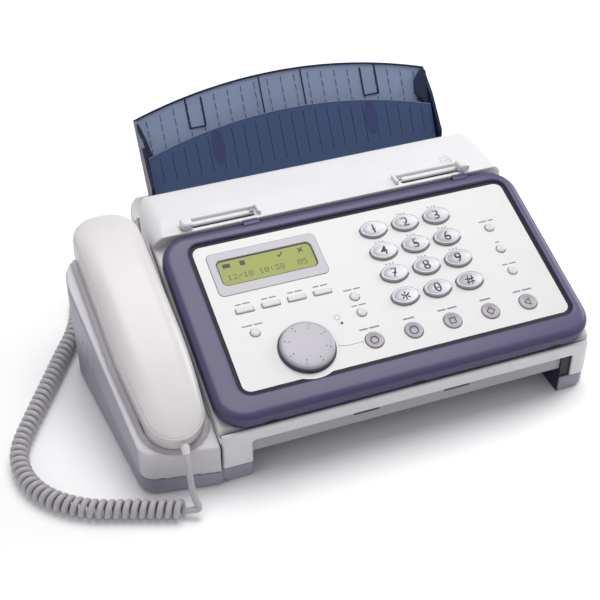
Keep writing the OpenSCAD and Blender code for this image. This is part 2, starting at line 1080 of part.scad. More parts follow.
lower_case();
rubber_feet();
main_case();
cradle_housing();
front_frame();
paper_support();
main_board();
rear_sockets();
loudspeaker();
print_head();
drive_motor();
case_screws();
cover_hinge_pins();
platen_roller();
ribbon_supply_spool();
ribbon_takeup_spool();
paper_cover();
hook_switch();
handset_upper_shell();
handset_lower_shell();
handset_capsules();
handset_cord_lead();
handset_cord_coil();
handset_plug();
top_cover();
document_roller();
guide_left();
guide_right();
panel_bezel();
panel_plate();
lcd_module();
panel_board();
jog_dial();
number_key(0, 0);  // key_1
number_key(0, 1);  // key_2
number_key(0, 2);  // key_3
number_key(1, 0);  // key_4
number_key(1, 1);  // key_5
number_key(1, 2);  // key_6
number_key(2, 0);  // key_7
number_key(2, 1);  // key_8
number_key(2, 2);  // key_9
number_key(3, 0);  // key_star
number_key(3, 1);  // key_0
number_key(3, 2);  // key_hash
bar_key(0);  // bar_key_1
bar_key(1);  // bar_key_2
bar_key(2);  // bar_key_3
bar_key(3);  // bar_key_4
small_key(0);  // function_key
small_key(1);  // recorder_key_1
small_key(2);  // recorder_key_2
small_key(3);  // side_key_1
small_key(4);  // side_key_2
small_key(5);  // side_key_3
round_key(0);  // round_key_1
round_key(1);  // round_key_2
round_key(2);  // round_key_3
round_key(3);  // round_key_4
round_key(4);  // round_key_5
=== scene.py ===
import json
import math

import bpy
from mathutils import Matrix, Vector


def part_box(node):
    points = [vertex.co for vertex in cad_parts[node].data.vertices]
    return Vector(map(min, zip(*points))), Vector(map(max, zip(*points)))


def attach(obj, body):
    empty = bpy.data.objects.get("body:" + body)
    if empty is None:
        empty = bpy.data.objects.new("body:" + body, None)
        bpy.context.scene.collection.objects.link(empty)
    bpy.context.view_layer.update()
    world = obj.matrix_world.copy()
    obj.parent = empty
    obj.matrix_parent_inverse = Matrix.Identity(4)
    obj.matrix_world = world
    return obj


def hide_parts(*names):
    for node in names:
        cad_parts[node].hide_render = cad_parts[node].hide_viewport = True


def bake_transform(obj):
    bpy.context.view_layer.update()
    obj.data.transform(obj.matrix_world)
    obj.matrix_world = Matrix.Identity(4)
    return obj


# Looks of the fax machine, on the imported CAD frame. Outlines, boxes and profiles are in millimetres and
# become metres through MM. Camera, lights, materials and what is read from the frame are in metres.

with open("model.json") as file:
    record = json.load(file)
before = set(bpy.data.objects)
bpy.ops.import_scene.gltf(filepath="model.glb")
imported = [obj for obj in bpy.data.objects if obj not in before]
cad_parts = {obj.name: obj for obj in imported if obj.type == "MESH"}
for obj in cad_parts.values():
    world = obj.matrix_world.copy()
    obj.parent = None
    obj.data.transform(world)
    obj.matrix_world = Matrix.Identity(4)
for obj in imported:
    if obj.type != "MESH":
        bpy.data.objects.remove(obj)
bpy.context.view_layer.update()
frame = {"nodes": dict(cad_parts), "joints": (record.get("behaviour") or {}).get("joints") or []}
MM = 0.001


# ---------- camera ----------

def add_camera(aim, azimuth, elevation, distance, lens):
    """A camera that looks at aim from the front left and above."""
    data = bpy.data.cameras.new("camera")
    data.lens = lens
    camera = bpy.data.objects.new("camera", data)
    bpy.context.scene.collection.objects.link(camera)
    a, e = math.radians(azimuth), math.radians(elevation)
    ahead = Vector((math.sin(a) * math.cos(e), math.cos(a) * math.cos(e), -math.sin(e)))
    camera.location = Vector(aim) - ahead * distance
    camera.rotation_euler = ahead.to_track_quat("-Z", "Y").to_euler()
    bpy.context.scene.camera = camera


add_camera(aim=(-0.0118, -0.0254, 0.0506), azimuth=20.6, elevation=39, distance=0.85, lens=73.3)
bpy.context.scene.view_settings.view_transform = "Standard"


# ---------- materials ----------

def material(name, colour, rough, rough_spread=0.06, tint=0.02, grain=0.00003, grain_size=0.0006,
             metallic=0.0, coat=0.0, transmission=0.0, streaks=None, shade=None):
    """A moulded, painted or rubber surface: mottled colour, uneven gloss and a fine grain.

    shade is (direction, near, far, colour): painted shade, a darker colour that takes over between two
    distances along a direction.
    """
    mat = bpy.data.materials.new(name)
    mat.use_nodes = True
    nodes, links = mat.node_tree.nodes, mat.node_tree.links
    shader = nodes["Principled BSDF"]
    shader.inputs["Metallic"].default_value = metallic
    shader.inputs["Coat Weight"].default_value = coat
    shader.inputs["Coat Roughness"].default_value = 0.08
    shader.inputs["Transmission Weight"].default_value = transmission
    place = nodes.new("ShaderNodeTexCoord")

    mottle = nodes.new("ShaderNodeTexNoise")
    mottle.inputs["Scale"].default_value = 45
    mottle.inputs["Detail"].default_value = 4
    links.new(place.outputs["Object"], mottle.inputs["Vector"])
    ramp = nodes.new("ShaderNodeValToRGB")
    ramp.color_ramp.elements[0].position = 0.3
    ramp.color_ramp.elements[1].position = 0.7
    ramp.color_ramp.elements[0].color = [c * (1 - tint) for c in colour] + [1]
    ramp.color_ramp.elements[1].color = [min(1, c * (1 + tint)) for c in colour] + [1]
    links.new(mottle.outputs["Fac"], ramp.inputs["Fac"])
    links.new(ramp.outputs["Color"], shader.inputs["Base Color"])
    # Painted shade: the base colour gives way to a darker one along a direction.
    if shade:
        direction, near, far, shade_colour = shade
        distance = nodes.new("ShaderNodeVectorMath")
        distance.operation = "DOT_PRODUCT"
        distance.inputs[1].default_value = direction
        links.new(place.outputs["Object"], distance.inputs[0])
        share = nodes.new("ShaderNodeMapRange")
        share.interpolation_type = "SMOOTHSTEP"
        share.inputs["From Min"].default_value = near
        share.inputs["From Max"].default_value = far
        links.new(distance.outputs["Value"], share.inputs["Value"])
        blend = nodes.new("ShaderNodeMixRGB")
        blend.inputs["Color2"].default_value = (*shade_colour, 1)
        links.new(share.outputs["Result"], blend.inputs["Fac"])
        links.new(ramp.outputs["Color"], blend.inputs["Color1"])
        links.new(blend.outputs["Color"], shader.inputs["Base Color"])

    gloss = nodes.new("ShaderNodeMapRange")
    gloss.inputs["To Min"].default_value = rough - rough_spread
    gloss.inputs["To Max"].default_value = rough + rough_spread
    links.new(mottle.outputs["Fac"], gloss.inputs["Value"])
    links.new(gloss.outputs["Result"], shader.inputs["Roughness"])

    fine = nodes.new("ShaderNodeTexNoise")
    fine.inputs["Scale"].default_value = 1 / grain_size
    fine.inputs["Detail"].default_value = 2
    if streaks:
        stretch = nodes.new("ShaderNodeMapping")
        stretch.inputs["Scale"].default_value = streaks
        links.new(place.outputs["Object"], stretch.inputs["Vector"])
        links.new(stretch.outputs["Vector"], fine.inputs["Vector"])
    else:
        links.new(place.outputs["Object"], fine.inputs["Vector"])
    bump = nodes.new("ShaderNodeBump")
    bump.inputs["Distance"].default_value = grain
    links.new(fine.outputs["Fac"], bump.inputs["Height"])
    links.new(bump.outputs["Normal"], shader.inputs["Normal"])
    return mat


WHITE = material("white_case", (0.70, 0.69, 0.70), rough=0.42, grain=0.00004)
PLATE = material("white_panel", (0.68, 0.68, 0.67), rough=0.38, grain=0.00002)
# Pale grey with painted shade: the outer left wall of the cradle housing is painted darker.
PALE_GREY_SHADED_SIDE = material("pale_grey_painted_shade", (0.60, 0.58, 0.61), rough=0.42, grain=0.00004,
                     shade=((-1, -0.094, 0), 0.1622, 0.1634, (0.34, 0.33, 0.39)))
GREY = material("grey_case", (0.29, 0.29, 0.35), rough=0.5, grain=0.00005)
TRIM = material("grey_trim", (0.36, 0.35, 0.38), rough=0.45)
# Violet with painted shade: the bezel's left side wall is painted darker.
VIOLET_SHADED_LEFT = material("violet_bezel_painted_shade", (0.058, 0.048, 0.125), rough=0.42, rough_spread=0.05, grain=0.00001,
                  coat=0.06, shade=((-1, 0, 0), 0.0995, 0.1008, (0.024, 0.021, 0.06)))
# Near-black for recesses, notches and gaps: painted shade.
PAINTED_SHADE_BLACK = material("groove_painted_shade", (0.006, 0.005, 0.014), rough=0.7)
SMOKED = material("smoked_blue", (0.27, 0.34, 0.49), rough=0.22, rough_spread=0.04, grain=0.00001, coat=0.3,
                  transmission=0.35)
SMOKED_DEEP = material("smoked_deep", (0.045, 0.085, 0.20), rough=0.2, rough_spread=0.04, grain=0.00001,
                       coat=0.3, transmission=0.2)
SMOKED_DARK = material("smoked_dark", (0.012, 0.02, 0.055), rough=0.2, rough_spread=0.04, grain=0.00001)
SMOKED_PURPLE = material("smoked_purple", (0.036, 0.045, 0.13), rough=0.25, rough_spread=0.04, grain=0.00001)
LAVENDER = material("support_side", (0.10, 0.082, 0.16), rough=0.5, grain=0.00001)
HANDSET = material("handset", (0.66, 0.64, 0.645), rough=0.34, rough_spread=0.04, grain=0.00001)
CORD = material("cord", (0.46, 0.44, 0.46), rough=0.45, grain=0.00001)
CLEAR = material("clear_plug", (0.85, 0.87, 0.88), rough=0.1, rough_spread=0.02, transmission=0.8)
BLACK = material("black_plastic", (0.02, 0.02, 0.024), rough=0.4)
# Dark navy for the inside of the right leg: painted shade.
LEG_SHADE_NAVY = material("leg_inside_painted_shade", (0.016, 0.016, 0.035), rough=0.5)
RUBBER = material("rubber", (0.035, 0.035, 0.04), rough=0.75, grain=0.0001)
STEEL = material("steel", (0.55, 0.55, 0.57), rough=0.32, metallic=1.0, grain=0.00002,
                 streaks=(1, 40, 1))
BOARD = material("circuit_board", (0.02, 0.12, 0.05), rough=0.35, tint=0.15)
DIAL = material("silver_dial", (0.40, 0.385, 0.42), rough=0.5, rough_spread=0.05, grain=0.00001,
                metallic=0.25)
DIAL_SIDE = material("dial_side", (0.10, 0.09, 0.13), rough=0.4)
KEY = material("silver_key", (0.38, 0.37, 0.40), rough=0.32, rough_spread=0.04, grain=0.00001, metallic=0.4)
CREAM = material("cream_key", (0.62, 0.60, 0.58), rough=0.36, grain=0.00001)
LILAC = material("lilac_key", (0.38, 0.35, 0.39), rough=0.36, grain=0.00001)
SURROUND = material("lcd_surround", (0.47, 0.46, 0.50), rough=0.4, grain=0.00001)
DISPLAY = material("lcd_display", (0.27, 0.30, 0.03), rough=0.45, tint=0.06, grain=0.000004, coat=0.08)
INK = material("dark_ink", (0.03, 0.03, 0.05), rough=0.5, tint=0.1, grain=0.000004)
MARK = material("grey_mark", (0.20, 0.20, 0.23), rough=0.5, tint=0.1, grain=0.000004)


def paint(obj, mat):
    obj.data.materials.clear()
    obj.data.materials.append(mat)


# ---------- mesh helpers ----------

def new_piece(name, verts, faces, mat, body, smooth=True, angle=35):
    """A mesh piece on a body and in a material slot. With no body it is left unattached."""
    mesh = bpy.data.meshes.new(name)
    mesh.from_pydata([tuple(v) for v in verts], [], faces)
    mesh.validate()
    mesh.update()
    obj = bpy.data.objects.new(name, mesh)
    bpy.context.scene.collection.objects.link(obj)
    mesh.materials.append(mat)
    if smooth:
        mesh.polygons.foreach_set("use_smooth", [True] * len(mesh.polygons))
        mesh.set_sharp_from_angle(angle=math.radians(angle))
    if body:
        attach(obj, body)
    return obj


def ring_faces(count, n):
    """The faces between count rings of n points each."""
    return [(i * n + k, i * n + (k + 1) % n, (i + 1) * n + (k + 1) % n, (i + 1) * n + k)
            for i in range(count - 1) for k in range(n)]


def loft(name, rings, mat, body, cap_start=True, cap_end=True, angle=35):
    """A surface through rings of equally many points, closed at the ends unless told not to."""
    n = len(rings[0])
    verts = [p for ring in rings for p in ring]
    faces = ring_faces(len(rings), n)
    if cap_start:
        faces.append(tuple(reversed(range(n))))
    if cap_end:
        faces.append(tuple((len(rings) - 1) * n + k for k in range(n)))
    return new_piece(name, verts, faces, mat, body, angle=angle)


def inset(points, d):
    """The outline drawn in by d along its normals; it runs counter-clockwise."""
    n = len(points)
    moved = []
    for i in range(n):
        a, b = points[i - 1], points[(i + 1) % n]
        along = Vector((b[0] - a[0], b[1] - a[1])).normalized()
        moved.append((points[i][0] - along.y * d, points[i][1] + along.x * d))
    return moved


def rounded_rect(w, h, r, steps=10, centre=(0, 0)):
    corners = [(w / 2 - r, h / 2 - r, 0), (-w / 2 + r, h / 2 - r, 90),
               (-w / 2 + r, -h / 2 + r, 180), (w / 2 - r, -h / 2 + r, 270)]
    points = []
    for x, y, start in corners:
        for k in range(steps + 1):
            a = math.radians(start + 90 * k / steps)
            points.append((centre[0] + x + r * math.cos(a), centre[1] + y + r * math.sin(a)))
    return points


def circle(r, steps, centre=(0, 0)):
    return [(centre[0] + r * math.cos(math.tau * k / steps), centre[1] + r * math.sin(math.tau * k / steps))
            for k in range(steps)]


def on_plane(matrix, points, height):
    """Points of a plane's own millimetre axes, at a height above it, in the row frame."""
    return [matrix @ Vector((x * MM, y * MM, height * MM)) for x, y in points]


# ---------- the control panel's own axes ----------

JOINTS = {j["name"]: j for j in frame["joints"]}
PANEL_UP = Vector(JOINTS["jog_dial_turn"]["axis"]).normalized()
PANEL_BACK = PANEL_UP.cross(Vector((1, 0, 0))).normalized()


def plane_matrix(origin, across, back, up):
    matrix = Matrix((across, back, up)).transposed().to_4x4()
    matrix.translation = origin
    return matrix


def spread_along(node, axis):
    """How far a CAD node reaches along an axis, as (lowest, highest)."""
    values = [v.co.dot(axis) for v in frame["nodes"][node].data.vertices]
    return min(values), max(values)


def panel_axes():
    """The panel plate's axes: origin in the middle of its top face."""
    low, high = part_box("panel_plate")
    top = spread_along("panel_plate", PANEL_UP)[1]
    rear = spread_along("panel_plate", PANEL_BACK)[1]
    centre_back = rear - PLATE_D / 2 * MM
    origin = PANEL_BACK * centre_back + PANEL_UP * top
    origin.x = (low.x + high.x) / 2
    return plane_matrix(origin, Vector((1, 0, 0)), PANEL_BACK, PANEL_UP)


PLATE_W, PLATE_D = 234, 117
PANEL = panel_axes()
PANEL_INVERSE = PANEL.inverted()


def top_of(node):
    """(x, y, height) of the middle of a CAD node's top face, in the panel's millimetres."""
    points = [PANEL_INVERSE @ v.co for v in frame["nodes"][node].data.vertices]
    top = max(p.z for p in points)
    face = [p for p in points if p.z > top - 0.00005]
    x = (min(p.x for p in face) + max(p.x for p in face)) / 2
    y = (min(p.y for p in face) + max(p.y for p in face)) / 2
    return x / MM, y / MM, top / MM


def panel_box(node):
    """A CAD node's box in the panel's millimetres, as (x0, x1), (y0, y1) and (lowest, highest)."""
    points = [PANEL_INVERSE @ v.co for v in frame["nodes"][node].data.vertices]
    return [(min(p[i] for p in points) / MM, max(p[i] for p in points) / MM) for i in range(3)]


# ---------- cord ----------

COIL_ROUTE = [(-129, -144, 6.6), (-136, -141, 6.6), (-163, -131, 6.6), (-188, -121, 6.6), (-207, -106, 6.6),
              (-218, -88, 6.6), (-221, -69, 6.6), (-217, -51, 6.6), (-204, -27, 6.6), (-189, -1, 6.6),
              (-174, 25, 6.6), (-162, 45, 6.6), (-154, 64, 6.6), (-149, 84, 6.6), (-142, 99, 7),
              (-131, 105, 8), (-122, 99, 11), (-120, 84, 13)]
LEAD_ROUTE = [(-124.5, -123.8, 39.1), (-125, -129, 36.5), (-125.5, -134, 31), (-126, -138, 23),
              (-125.5, -142, 14), (-124, -145.5, 8.5), (-125.5, -146, 6.8), (-128.9, -144.1, 6.6)]
CORD_D = 4.2
COIL_D = 13.0
COIL_PITCH = 5.3


def smooth_curve(points, steps):
    """A smooth curve through the points, steps points for each stretch."""
    p = [Vector(q) for q in points]
    out = []
    for i in range(len(p) - 1):
        a, b, c, d = p[max(i - 1, 0)], p[i], p[i + 1], p[min(i + 2, len(p) - 1)]
        for k in range(steps):
            t = k / steps
            out.append(0.5 * (2 * b + (c - a) * t + (2 * a - 5 * b + 4 * c - d) * t * t
                              + (3 * b - a - 3 * c + d) * t ** 3))
    out.append(p[-1])
    return out


def at_distance(curve, lengths, s):
    """The point and direction at a distance s along a curve."""
    i = max(0, min(len(curve) - 2, next((k - 1 for k, t in enumerate(lengths) if t > s), len(curve) - 2)))
    span = lengths[i + 1] - lengths[i]
    t = (s - lengths[i]) / span
    ahead = curve[min(i + 2, len(curve) - 1)] - curve[i]
    behind = curve[i + 1] - curve[max(i - 1, 0)]
    return curve[i].lerp(curve[i + 1], t), behind.lerp(ahead, t).normalized()


def cumulative(curve):
    lengths = [0.0]
    for a, b in zip(curve, curve[1:]):
        lengths.append(lengths[-1] + (b - a).length)
    return lengths


def cord_path():
    """Millimetre points of the whole cord: the lead, the helix of the coil and the tail in its plug."""
    lead = smooth_curve(LEAD_ROUTE, 6)
    coil = smooth_curve(COIL_ROUTE, 8)
    lengths = cumulative(coil)
    first, last = 4, lengths[-1] - 8
    radius = (COIL_D - CORD_D) / 2
    per_turn = 14
    count = int((last - first) / COIL_PITCH * per_turn)
    path = lead[:-3]
    for k in range(count + 1):
        s = first + (last - first) * k / count
        centre, along = at_distance(coil, lengths, s)
        side = along.cross(Vector((0, 0, 1))).normalized()
        up = side.cross(along)
        grow = min(1, (k + 4) / 10, (count - k + 4) / 10)
        a = math.tau * k / per_turn - 2.2
        path.append(centre + radius * grow * (math.cos(a) * side + math.sin(a) * up))
    path.append(coil[-1] + Vector((0, 1, 0)))
    path.append(coil[-1] - Vector((0, 3, 0)))
    return path


def tube_mesh(path, r, sides):
    """Vertices and faces of a round tube along a path, with its own frame carried along."""
    n = len(path)
    up = Vector((0, 0, 1))
    rings = []
    for i in range(n):
        along = (path[min(i + 1, n - 1)] - path[max(i - 1, 0)]).normalized()
        up = (up - along * up.dot(along)).normalized()
        side = along.cross(up)
        turns = [math.tau * k / sides for k in range(sides)]
        rings.append([path[i] + r * (math.cos(a) * side + math.sin(a) * up) for a in turns])
    verts = [p for ring in rings for p in ring]
    faces = []
    for i in range(n - 1):
        near, far = i * sides, (i + 1) * sides
        faces += [(near + k, far + k, far + (k + 1) % sides, near + (k + 1) % sides) for k in range(sides)]
    faces.append(tuple(range(sides)))
    faces.append(tuple(reversed([(n - 1) * sides + k for k in range(sides)])))
    return verts, faces


def make_cord():
    path = [p * MM for p in cord_path()]
    verts, faces = tube_mesh(path, CORD_D / 2 * MM, 10)
    cord = new_piece("handset_cord", verts, faces, CORD, None, angle=60)
    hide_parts("handset_cord_lead", "handset_cord_coil")
    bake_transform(cord)


def make_strain_relief():
    """The tapered sleeve round the cord where it leaves the handset."""
    start, end = [Vector(p) for p in LEAD_ROUTE[:2]]
    along = (end - start).normalized()
    side = along.cross(Vector((0, 0, 1))).normalized()
    up = side.cross(along)
    rings = []
    turns = [math.tau * k / 24 for k in range(24)]
    for distance, r in ((-1.5, 3.0), (0, 3.05), (0.4, 2.9), (3.6, 2.5), (4.4, 2.3)):
        centre = start + along * distance
        rings.append([(centre + r * (math.cos(a) * side + math.sin(a) * up)) * MM for a in turns])
    loft("handset_strain_relief", rings, HANDSET, "handset")


make_cord()
make_strain_relief()


# ---------- keys ----------

def oval(steps=64):
    """Outline of a number key: two big arcs whose ends are rounded off."""
    big, shift, half = 12.2, 5.2, 10
    points = []
    for k in range(steps):
        a = math.tau * k / steps
        direction = Vector((math.cos(a), math.sin(a)))
        offset = shift * abs(direction.y)
        reach = min(half, -offset + math.sqrt(offset * offset + big * big - shift * shift))
        points.append((direction.x * reach, direction.y * reach))
    return points


def cap(name, node, outline, profile, mat, body):
    """A key cap that stands for its CAD node. profile lists (inset, height above the plate)."""
    x, y = top_of(node)[:2]
    rings = []
    for d, height in profile:
        points = [(x + px, y + py) for px, py in (inset(outline, d) if d else outline)]
        rings.append(on_plane(PANEL, points, height))
    piece = loft(name, rings, mat, body, angle=50)
    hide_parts(node)


KEY_FOOT = -2.8


def dished(top, edge, dish, reach):
    """Profile of a key whose top is dished: (inset, height) from the bottom up and in."""
    rim = [(0, KEY_FOOT), (0, top - edge)]
    rim += [(edge * (1 - math.cos(math.radians(a))), top - edge * (1 - math.sin(math.radians(a))))
            for a in (30, 60, 90)]
    steps = 6
    for k in range(1, steps + 1):
        t = k / steps
        rim.append((edge + (reach - edge) * t, top - dish * math.sin(math.pi / 2 * t)))
    return rim


def domed(top, edge, rise, reach):
    """Profile of a key with a rounded, slightly domed top."""
    rim = [(0, KEY_FOOT), (0, top - edge - rise)]
    rim += [(edge * (1 - math.cos(math.radians(a))), top - rise - edge * (1 - math.sin(math.radians(a))))
            for a in (30, 60, 90)]
    rim += [(edge + (reach - edge) * t, top - rise * (1 - t) ** 2) for t in (0.4, 0.7, 1)]
    return rim


def label(name, text, x, y, height, size, body):
    """A printed character, a very thin solid on a surface of the panel."""
    curve = bpy.data.curves.new(name, "FONT")
    curve.body = text
    curve.size = size * MM
    curve.align_x = "CENTER"
    curve.align_y = "CENTER"
    curve.extrude = 0.02 * MM
    curve.offset = 0.00002
    obj = bpy.data.objects.new(name, curve)
    bpy.context.scene.collection.objects.link(obj)
    curve.materials.append(INK)
    obj.matrix_world = PANEL @ Matrix.Translation((x * MM, y * MM, height * MM))
    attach(obj, body)


NUMBER_KEYS = {str(i): "key_%d" % i for i in range(1, 10)}
NUMBER_KEYS |= {"*": "key_star", "0": "key_0", "#": "key_hash"}
SMALL_KEYS = ["function_key", "recorder_key_1", "recorder_key_2", "side_key_1", "side_key_2", "side_key_3"]


def make_number_keys():
    for sign, node in NUMBER_KEYS.items():
        x, y, top = top_of(node)
        cap("cap_" + node, node, oval(), dished(top, 0.9, 0.6, 6.5), KEY, node)
        size, lower = (15, 3.4) if sign == "*" else (11, 0)
        label("digit_" + node, sign, x, y - lower, top - 0.36, size, node)


def make_other_keys():
    for i in range(1, 5):
        node = "bar_key_%d" % i
        cap("cap_" + node, node, rounded_rect(12.5, 4, 1.2), domed(top_of(node)[2], 0.6, 0.1, 1.15), CREAM,
            node)
    for node in SMALL_KEYS:
        cap("cap_" + node, node, circle(3.25, 32), domed(top_of(node)[2], 0.7, 0.3, 3), CREAM,
            node)
    for i in range(1, 6):
        node = "round_key_%d" % i
        cap("cap_" + node, node, circle(6.25, 48), dished(top_of(node)[2], 0.8, 0.9, 5.6), LILAC,
            node)


make_number_keys()
make_other_keys()


# ---------- jog dial ----------

def make_dial():
    x, y, top = top_of("jog_dial")
    r, crown_r, shoulder = 18.5, 16.2, 4.75

    def crown(q):
        """Height of the slightly domed face at a distance q from its middle."""
        return top - (top - shoulder) * (q / crown_r) ** 2

    side = [(-1.0, 0.3), (-0.3, 0.3), (0, 0.5), (0.1, 2.6), (0.3, 3.0)]
    disc = [(0.35, 3.0), (0.2, 3.2), (0.3, 3.7), (0.8, 4.2), (1.6, 4.55)]
    disc += [(r - q, crown(q)) for q in (crown_r, 13, 10, 7, 4, 2)]
    body = "jog_dial"
    skirt_rings = [on_plane(PANEL, circle(r - d, 96, (x, y)), h) for d, h in side]
    skirt = loft("dial_skirt", skirt_rings, DIAL_SIDE, body)
    disc_rings = [on_plane(PANEL, circle(r - d, 96, (x, y)), h) for d, h in disc]
    loft("dial_disc", disc_rings, DIAL, body, angle=50)
    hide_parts("jog_dial")
    # Each dimple is a small dark grey disc on the face: painted shade in the dimple.
    for k in range(8):
        a = math.radians(22.5 + 45 * k)
        for q in (12.2, 15.0):
            height = crown(q)
            place = (x + q * math.cos(a), y + q * math.sin(a))
            rings = [on_plane(PANEL, circle(0.62, 16, place), height - 0.3),
                     on_plane(PANEL, circle(0.62, 16, place), height + 0.05),
                     on_plane(PANEL, circle(0.45, 16, place), height + 0.03)]
            loft("dial_dimple_shade_%d_%d" % (k, round(q)), rings, MARK, body)


make_dial()


# ---------- bezel ----------

def plate_outline(grow, steps=8):
    """Outline of the panel plate with its bulge round the dial, grown by grow, counter-clockwise."""
    x, y, _ = top_of("jog_dial")
    bulge = 23.5 + grow
    w, h, r = PLATE_W + 2 * grow, PLATE_D + 2 * grow, 6 + grow
    reach = math.sqrt(bulge ** 2 - (-h / 2 - y) ** 2)
    points = []
    right, rear = w / 2 - r, h / 2 - r
    for cx, cy, start in [(right, rear, 0), (-right, rear, 90), (-right, -rear, 180)]:
        for k in range(steps + 1):
            a = math.radians(start + 90 * k / steps)
            points.append((cx + r * math.cos(a), cy + r * math.sin(a)))
    first = math.atan2(-h / 2 - y, -reach)
    last = math.atan2(-h / 2 - y, reach)
    for k in range(2 * steps + 1):
        a = first + (last - first) * k / (2 * steps)
        points.append((x + bulge * math.cos(a), y + bulge * math.sin(a)))
    for k in range(steps + 1):
        a = math.radians(270 + 90 * k / steps)
        points.append((right + r * math.cos(a), -rear + r * math.sin(a)))
    return points


def matched(outline, targets, centre):
    """For each target point, the outline's point in the same direction from centre."""
    out = []
    n = len(outline)
    for tx, ty in targets:
        dx, dy = tx - centre[0], ty - centre[1]
        best = None
        for i in range(n):
            ax, ay = outline[i][0] - centre[0], outline[i][1] - centre[1]
            bx, by = outline[(i + 1) % n][0] - centre[0], outline[(i + 1) % n][1] - centre[1]
            det = dx * (by - ay) - dy * (bx - ax)
            if abs(det) < 1e-12:
                continue
            t = (ax * (by - ay) - ay * (bx - ax)) / det
            u = (ax * dy - ay * dx) / det
            if t > 0 and -1e-9 <= u <= 1 + 1e-9:
                best = t
        out.append((centre[0] + dx * best, centre[1] + dy * best))
    return out


def make_bezel():
    (x0, x1), (y0, y1), (bottom, top) = panel_box("panel_bezel")
    centre = ((x0 + x1) / 2, (y0 + y1) / 2)
    outer = rounded_rect(x1 - x0, y1 - y0, 20, 14, centre)
    rings = [on_plane(PANEL, inset(outer, 2.2), bottom), on_plane(PANEL, inset(outer, 0.5), bottom),
             on_plane(PANEL, inset(outer, 0.2), bottom + 0.4), on_plane(PANEL, inset(outer, 0.2), -4.4),
             on_plane(PANEL, inset(outer, 0.6), -4.0), on_plane(PANEL, inset(outer, 0.15), -3.6)]
    edge_w, edge_h = 6.2, 4.2
    for a in range(0, 91, 10):
        t = math.radians(a)
        rings.append(on_plane(PANEL, inset(outer, 0.05 + edge_w * (1 - math.cos(t))),
                              top - edge_h * (1 - math.sin(t))))
    lip = [(4.4, 0.0), (3.5, -0.2), (3.1, -0.8), (3.0, -2.0), (3.0, -3.0)]
    rings += [on_plane(PANEL, matched(plate_outline(g), outer, centre), top + h) for g, h in lip]
    rings.append(on_plane(PANEL, matched(plate_outline(3.2), outer, centre), bottom + 1))
    body, slot = "control_panel", "violet_plastic"
    piece = loft("bezel", rings, VIOLET_SHADED_LEFT, body, cap_start=False, cap_end=False, angle=50)
    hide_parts("panel_bezel")
    # A real recess between the bezel and the plate, coloured near-black: painted shade in it.
    groove_painted_shade = [(0.42, -0.4), (3.1, -0.4), (3.1, -1.6), (0.42, -1.6), (0.42, -0.4)]
    groove_rings = [on_plane(PANEL, matched(plate_outline(g), outer, centre), h) for g, h in groove_painted_shade]
    loft("bezel_groove_painted_shade", groove_rings, PAINTED_SHADE_BLACK, body, cap_start=False, cap_end=False)
    for i, x in enumerate((x0 + 34, x0 + 135, x0 + 235.5)):
        finger_notch("finger_notch_%d" % (i + 1), x, y0, bottom, body)


def finger_notch(name, x, front, bottom, body):
    """A half-round notch in the bezel's lower front edge, drawn as a near-black piece: painted shade in the
    notch.
    """
    half_width, height, floor = 4.6, 2.6, bottom + 0.5
    turns = [math.pi * k / 12 for k in range(13)]
    arc = [(x + half_width * math.cos(a), floor + height * math.sin(a)) for a in turns]
    rings = [[PANEL @ Vector((px * MM, y * MM, h * MM)) for px, h in arc] for y in (front + 1.2, front)]
    loft(name, rings, PAINTED_SHADE_BLACK, body)


def make_hinge_covers():
    """Violet covers over the two knuckles of the control panel's hinge."""
    pivot = PANEL_INVERSE @ Vector(JOINTS["control_panel_hinge"]["pos_m"])
    y, height = pivot.y / MM, pivot.z / MM
    r = 3.1
    profile = [(y + r * math.cos(math.radians(a)), height + r * math.sin(math.radians(a)))
               for a in range(180, 30, -15)]
    profile += [(y + 4, height + 2.1), (y + 4, height - 2), (y - r, height - 2)]
    for i, x in enumerate((-70, 90)):
        rings = [[PANEL @ Vector((px * MM, b * MM, h * MM)) for b, h in profile] for px in (x - 5.6, x + 5.6)]
        loft("hinge_cover_%d" % (i + 1), rings, VIOLET_SHADED_LEFT, "top_cover")


make_bezel()
make_hinge_covers()


# ---------- display ----------

GLYPHS = {
    "0": "01110 10001 10011 10101 11001 10001 01110",
    "1": "00100 01100 00100 00100 00100 00100 01110",
    "2": "01110 10001 00001 00010 00100 01000 11111",
    "3": "11111 00010 00100 00010 00001 10001 01110",
    "5": "11111 10000 11110 00001 00001 10001 01110",
    "8": "01110 10001 10001 01110 10001 10001 01110",
    "/": "00000 00001 00010 00100 01000 10000 00000",
    ":": "00000 00100 00100 00000 00100 00100 00000",
}


def flat_patch(name, outlines, height, thick, mat, body):
    """Thin solids with these outlines, joined into one piece that lies at a height on the panel."""
    verts, faces = [], []
    for outline in outlines:
        n = len(outline)
        base = len(verts)
        verts += on_plane(PANEL, outline, height) + on_plane(PANEL, outline, height + thick)
        faces.append(tuple(base + k for k in reversed(range(n))))
        faces.append(tuple(base + n + k for k in range(n)))
        faces += [(base + k, base + (k + 1) % n, base + n + (k + 1) % n, base + n + k) for k in range(n)]
    new_piece(name, verts, faces, mat, body, smooth=False)


def box_outline(x, y, w, h):
    return [(x - w / 2, y - h / 2), (x + w / 2, y - h / 2), (x + w / 2, y + h / 2), (x - w / 2, y + h / 2)]


def stroke(a, b, width):
    """The outline of a straight line of that width."""
    d = Vector((b[0] - a[0], b[1] - a[1])).normalized() * width / 2
    return [(a[0] + d.y, a[1] - d.x), (b[0] + d.y, b[1] - d.x),
            (b[0] - d.y, b[1] + d.x), (a[0] - d.y, a[1] + d.x)]


def dot_text(text, x, y, pitch):
    """Square dots of a row of dot-matrix characters, from the left end of its middle line."""
    dots = []
    for i, sign in enumerate(text):
        for row, bits in enumerate(GLYPHS.get(sign, "").split()):
            for column, bit in enumerate(bits):
                if bit == "1":
                    dots.append(box_outline(x + (i * 6 + column) * pitch, y + (3 - row) * pitch, pitch * 0.86,
                                            pitch * 0.86))
    return dots


